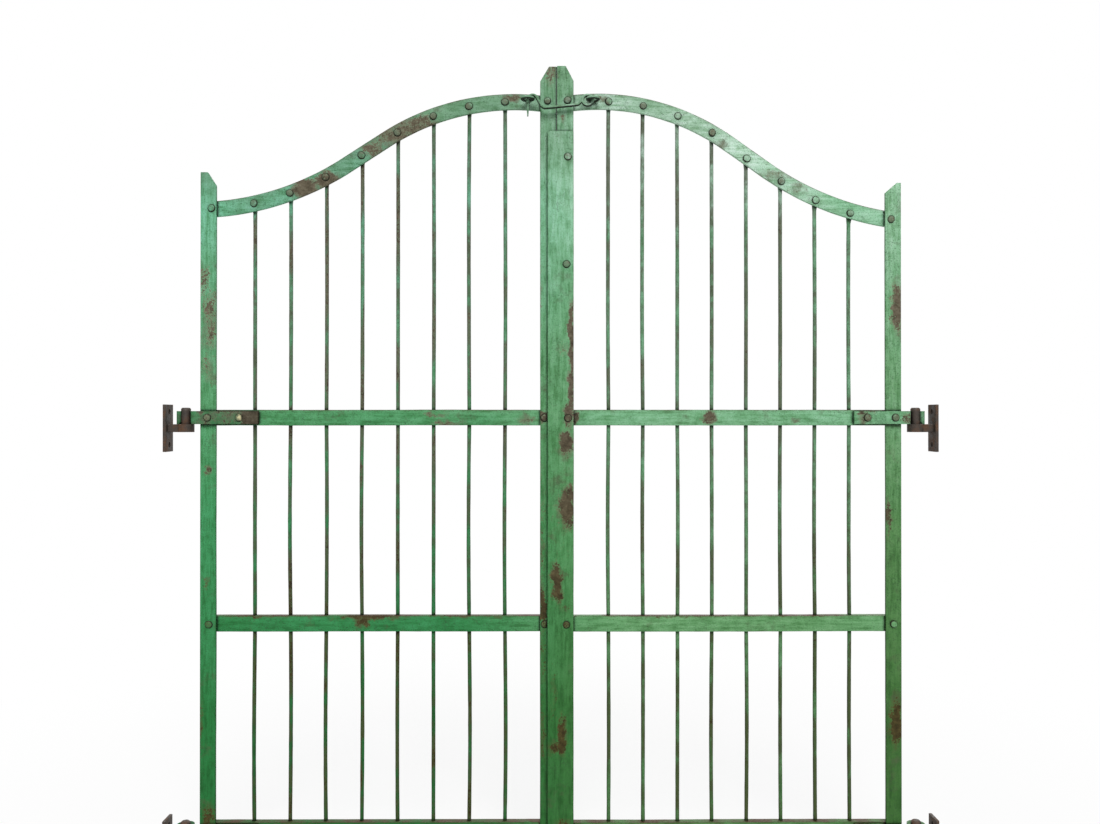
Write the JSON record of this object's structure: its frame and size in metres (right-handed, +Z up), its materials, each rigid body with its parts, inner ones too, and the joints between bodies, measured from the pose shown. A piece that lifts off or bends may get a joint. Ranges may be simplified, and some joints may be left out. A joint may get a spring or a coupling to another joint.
{
  "type": "double-leaf gate",
  "caption": "Double-leaf wrought iron gate with swan-neck top rails, round bars, channel rails, a cover strip, rolled strap hinges on wall pintles and a cabin hook.",
  "frame": {"origin": "middle of the lower left wall plate, on the face that meets the wall", "axes": "+X along the closed gate from the left wall to the right, +Y away from the side with the hook and the cover strip, +Z up"},
  "size_m": [1.958, 0.0655, 2.0318],
  "materials": {
    "green_paint": "weathered green paint, chalky, with rust at edges and joints",
    "bare_iron": "bare forged iron, dark and rusted"
  },
  "bodies": {
    "wall_pintles": {"left_lower_pintle": "bare_iron", "left_upper_pintle": "bare_iron", "right_lower_pintle": "bare_iron", "right_upper_pintle": "bare_iron"},
    "left_leaf": {"left_hinge_stile": "green_paint", "left_meeting_stile": "green_paint", "left_top_rail": "green_paint", "left_bottom_rail": "green_paint", "left_lower_rail": "green_paint", "left_middle_rail": "green_paint", "left_bar_1": "green_paint", "left_bar_2": "green_paint", "left_bar_3": "green_paint", "left_bar_4": "green_paint", "left_bar_5": "green_paint", "left_bar_6": "green_paint", "left_bar_7": "green_paint", "left_bar_8": "green_paint", "left_lower_hinge_strap": "green_paint", "left_upper_hinge_strap": "green_paint", "left_hook_eye": "green_paint"},
    "right_leaf": {"right_hinge_stile": "green_paint", "right_meeting_stile": "green_paint", "right_top_rail": "green_paint", "right_bottom_rail": "green_paint", "right_lower_rail": "green_paint", "right_middle_rail": "green_paint", "right_bar_1": "green_paint", "right_bar_2": "green_paint", "right_bar_3": "green_paint", "right_bar_4": "green_paint", "right_bar_5": "green_paint", "right_bar_6": "green_paint", "right_bar_7": "green_paint", "right_bar_8": "green_paint", "right_lower_hinge_strap": "green_paint", "right_upper_hinge_strap": "green_paint", "right_hook_eye": "green_paint", "cover_strip": "green_paint"},
    "hook": {"gate_hook": "green_paint"}
  },
  "joints": [
    {"name": "left_leaf_swing", "type": "hinge", "parent": "wall_pintles", "child": "left_leaf", "pos_m": [0.05, 0, 0], "axis": [0, 0, -1], "range_deg": [0, 100]},
    {"name": "right_leaf_swing", "type": "hinge", "parent": "wall_pintles", "child": "right_leaf", "pos_m": [1.908, -0.005, 0], "axis": [0, 0, 1], "range_deg": [0, 100]},
    {"name": "hook_lift", "type": "hinge", "parent": "right_leaf", "child": "hook", "pos_m": [1.071, -0.0225, 1.8799], "axis": [0, 1, 0], "range_deg": [0, 165]}
  ]
}
